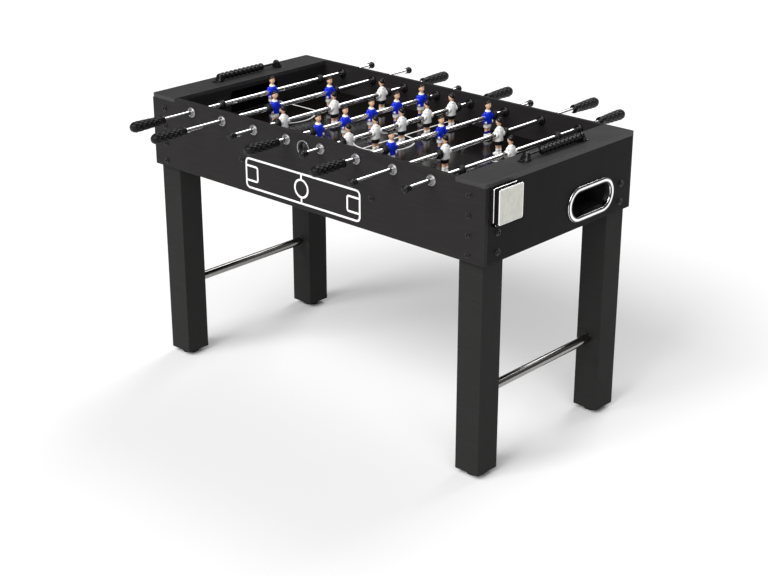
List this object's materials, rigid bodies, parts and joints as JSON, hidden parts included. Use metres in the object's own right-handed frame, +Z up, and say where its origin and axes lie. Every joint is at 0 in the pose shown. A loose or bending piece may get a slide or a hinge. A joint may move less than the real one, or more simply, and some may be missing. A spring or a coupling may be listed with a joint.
{
  "type": "foosball table",
  "caption": "Free-standing foosball table: black panel cabinet on square legs, sliding and turning player rods with grips, score beads, ball returns and a folding drink holder.",
  "frame": {"origin": "on the floor under the middle of the cabinet", "axes": "+X along the table towards the end with the drink holder, +Y from the front panel to the back panel, +Z up"},
  "size_m": [1.244, 1.1, 0.8243],
  "materials": {
    "cabinet_board": "satin black laminate",
    "leg_board": "satin charcoal laminate",
    "field_board": "glossy black with white pitch lines",
    "black_plastic": "satin moulded plastic",
    "grey_plastic": "light grey moulded plastic",
    "chrome_rod": "polished plating",
    "chrome_tube": "polished plating",
    "pearl_metal": "satin pearl",
    "blue_player": "painted plastic",
    "white_player": "painted plastic",
    "rubber_grip": "ribbed rubber"
  },
  "bodies": {
    "root": {"side_panel_front": "cabinet_board", "side_panel_back": "cabinet_board", "playfield": "field_board", "serve_ring": "grey_plastic", "end_panel_left": "cabinet_board", "end_top_left": "cabinet_board", "goal_wall_left": "cabinet_board", "ball_return_left": "black_plastic", "leg_tube_left": "chrome_tube", "score_rail_left": "black_plastic", "end_panel_right": "cabinet_board", "end_top_right": "cabinet_board", "goal_wall_right": "cabinet_board", "ball_return_right": "black_plastic", "leg_tube_right": "chrome_tube", "score_rail_right": "black_plastic", "drink_holder_bracket": "black_plastic", "leg_front_left": "leg_board", "leg_front_right": "leg_board", "leg_back_left": "leg_board", "leg_back_right": "leg_board"},
    "leveller_front_left": {"leveller_front_left": "black_plastic"},
    "leveller_front_right": {"leveller_front_right": "black_plastic"},
    "leveller_back_left": {"leveller_back_left": "black_plastic"},
    "leveller_back_right": {"leveller_back_right": "black_plastic"},
    "score_beads_left": {"score_beads_left": "black_plastic"},
    "score_beads_right": {"score_beads_right": "black_plastic"},
    "drink_holder_tray": {"drink_holder_tray": "pearl_metal"},
    "bearing_1": {"rod_1_bearing": "grey_plastic"},
    "rod_1": {"rod_1_shaft": "chrome_rod", "rod_1_men": "blue_player", "rod_1_grip": "rubber_grip"},
    "bearing_2": {"rod_2_bearing": "grey_plastic"},
    "rod_2": {"rod_2_shaft": "chrome_rod", "rod_2_men": "blue_player", "rod_2_grip": "rubber_grip"},
    "bearing_3": {"rod_3_bearing": "grey_plastic"},
    "rod_3": {"rod_3_shaft": "chrome_rod", "rod_3_men": "white_player", "rod_3_grip": "rubber_grip"},
    "bearing_4": {"rod_4_bearing": "grey_plastic"},
    "rod_4": {"rod_4_shaft": "chrome_rod", "rod_4_men": "blue_player", "rod_4_grip": "rubber_grip"},
    "bearing_5": {"rod_5_bearing": "grey_plastic"},
    "rod_5": {"rod_5_shaft": "chrome_rod", "rod_5_men": "white_player", "rod_5_grip": "rubber_grip"},
    "bearing_6": {"rod_6_bearing": "grey_plastic"},
    "rod_6": {"rod_6_shaft": "chrome_rod", "rod_6_men": "blue_player", "rod_6_grip": "rubber_grip"},
    "bearing_7": {"rod_7_bearing": "grey_plastic"},
    "rod_7": {"rod_7_shaft": "chrome_rod", "rod_7_men": "white_player", "rod_7_grip": "rubber_grip"},
    "bearing_8": {"rod_8_bearing": "grey_plastic"},
    "rod_8": {"rod_8_shaft": "chrome_rod", "rod_8_men": "white_player", "rod_8_grip": "rubber_grip"}
  },
  "joints": [
    {"name": "leveller_front_left_adjust", "type": "slide", "parent": "root", "child": "leveller_front_left", "axis": [0, 0, -1], "range_m": [0, 0.012]},
    {"name": "leveller_front_right_adjust", "type": "slide", "parent": "root", "child": "leveller_front_right", "axis": [0, 0, -1], "range_m": [0, 0.012]},
    {"name": "leveller_back_left_adjust", "type": "slide", "parent": "root", "child": "leveller_back_left", "axis": [0, 0, -1], "range_m": [0, 0.012]},
    {"name": "leveller_back_right_adjust", "type": "slide", "parent": "root", "child": "leveller_back_right", "axis": [0, 0, -1], "range_m": [0, 0.012]},
    {"name": "score_beads_left_slide", "type": "slide", "parent": "root", "child": "score_beads_left", "axis": [0, 1, 0], "range_m": [0, 0.0494]},
    {"name": "score_beads_right_slide", "type": "slide", "parent": "root", "child": "score_beads_right", "axis": [0, -1, 0], "range_m": [0, 0.0494]},
    {"name": "drink_holder_fold", "type": "hinge", "parent": "root", "child": "drink_holder_tray", "pos_m": [0.6185, -0.232, 0.6925], "axis": [0, 1, 0], "range_deg": [0, 90]},
    {"name": "rod_1_turn", "type": "hinge", "parent": "root", "child": "bearing_1", "pos_m": [-0.441, 0, 0.774], "axis": [0, 1, 0], "continuous": true},
    {"name": "rod_1_slide", "type": "slide", "parent": "bearing_1", "child": "rod_1", "axis": [0, 1, 0], "range_m": [-0.085, 0.085]},
    {"name": "rod_2_turn", "type": "hinge", "parent": "root", "child": "bearing_2", "pos_m": [-0.315, 0, 0.774], "axis": [0, 1, 0], "continuous": true},
    {"name": "rod_2_slide", "type": "slide", "parent": "bearing_2", "child": "rod_2", "axis": [0, 1, 0], "range_m": [-0.126, 0.126]},
    {"name": "rod_3_turn", "type": "hinge", "parent": "root", "child": "bearing_3", "pos_m": [-0.189, 0, 0.774], "axis": [0, 1, 0], "continuous": true},
    {"name": "rod_3_slide", "type": "slide", "parent": "bearing_3", "child": "rod_3", "axis": [0, 1, 0], "range_m": [-0.0595, 0.0595]},
    {"name": "rod_4_turn", "type": "hinge", "parent": "root", "child": "bearing_4", "pos_m": [-0.063, 0, 0.774], "axis": [0, 1, 0], "continuous": true},
    {"name": "rod_4_slide", "type": "slide", "parent": "bearing_4", "child": "rod_4", "axis": [0, 1, 0], "range_m": [-0.063, 0.027]},
    {"name": "rod_5_turn", "type": "hinge", "parent": "root", "child": "bearing_5", "pos_m": [0.063, 0, 0.774], "axis": [0, 1, 0], "continuous": true},
    {"name": "rod_5_slide", "type": "slide", "parent": "bearing_5", "child": "rod_5", "axis": [0, 1, 0], "range_m": [-0.0525, 0.0445]},
    {"name": "rod_6_turn", "type": "hinge", "parent": "root", "child": "bearing_6", "pos_m": [0.189, 0, 0.774], "axis": [0, 1, 0], "continuous": true},
    {"name": "rod_6_slide", "type": "slide", "parent": "bearing_6", "child": "rod_6", "axis": [0, 1, 0], "range_m": [-0.079, 0.039]},
    {"name": "rod_7_turn", "type": "hinge", "parent": "root", "child": "bearing_7", "pos_m": [0.315, 0, 0.774], "axis": [0, 1, 0], "continuous": true},
    {"name": "rod_7_slide", "type": "slide", "parent": "bearing_7", "child": "rod_7", "axis": [0, 1, 0], "range_m": [-0.126, 0.126]},
    {"name": "rod_8_turn", "type": "hinge", "parent": "root", "child": "bearing_8", "pos_m": [0.441, 0, 0.774], "axis": [0, 1, 0], "continuous": true},
    {"name": "rod_8_slide", "type": "slide", "parent": "bearing_8", "child": "rod_8", "axis": [0, 1, 0], "range_m": [-0.073, 0.073]}
  ]
}
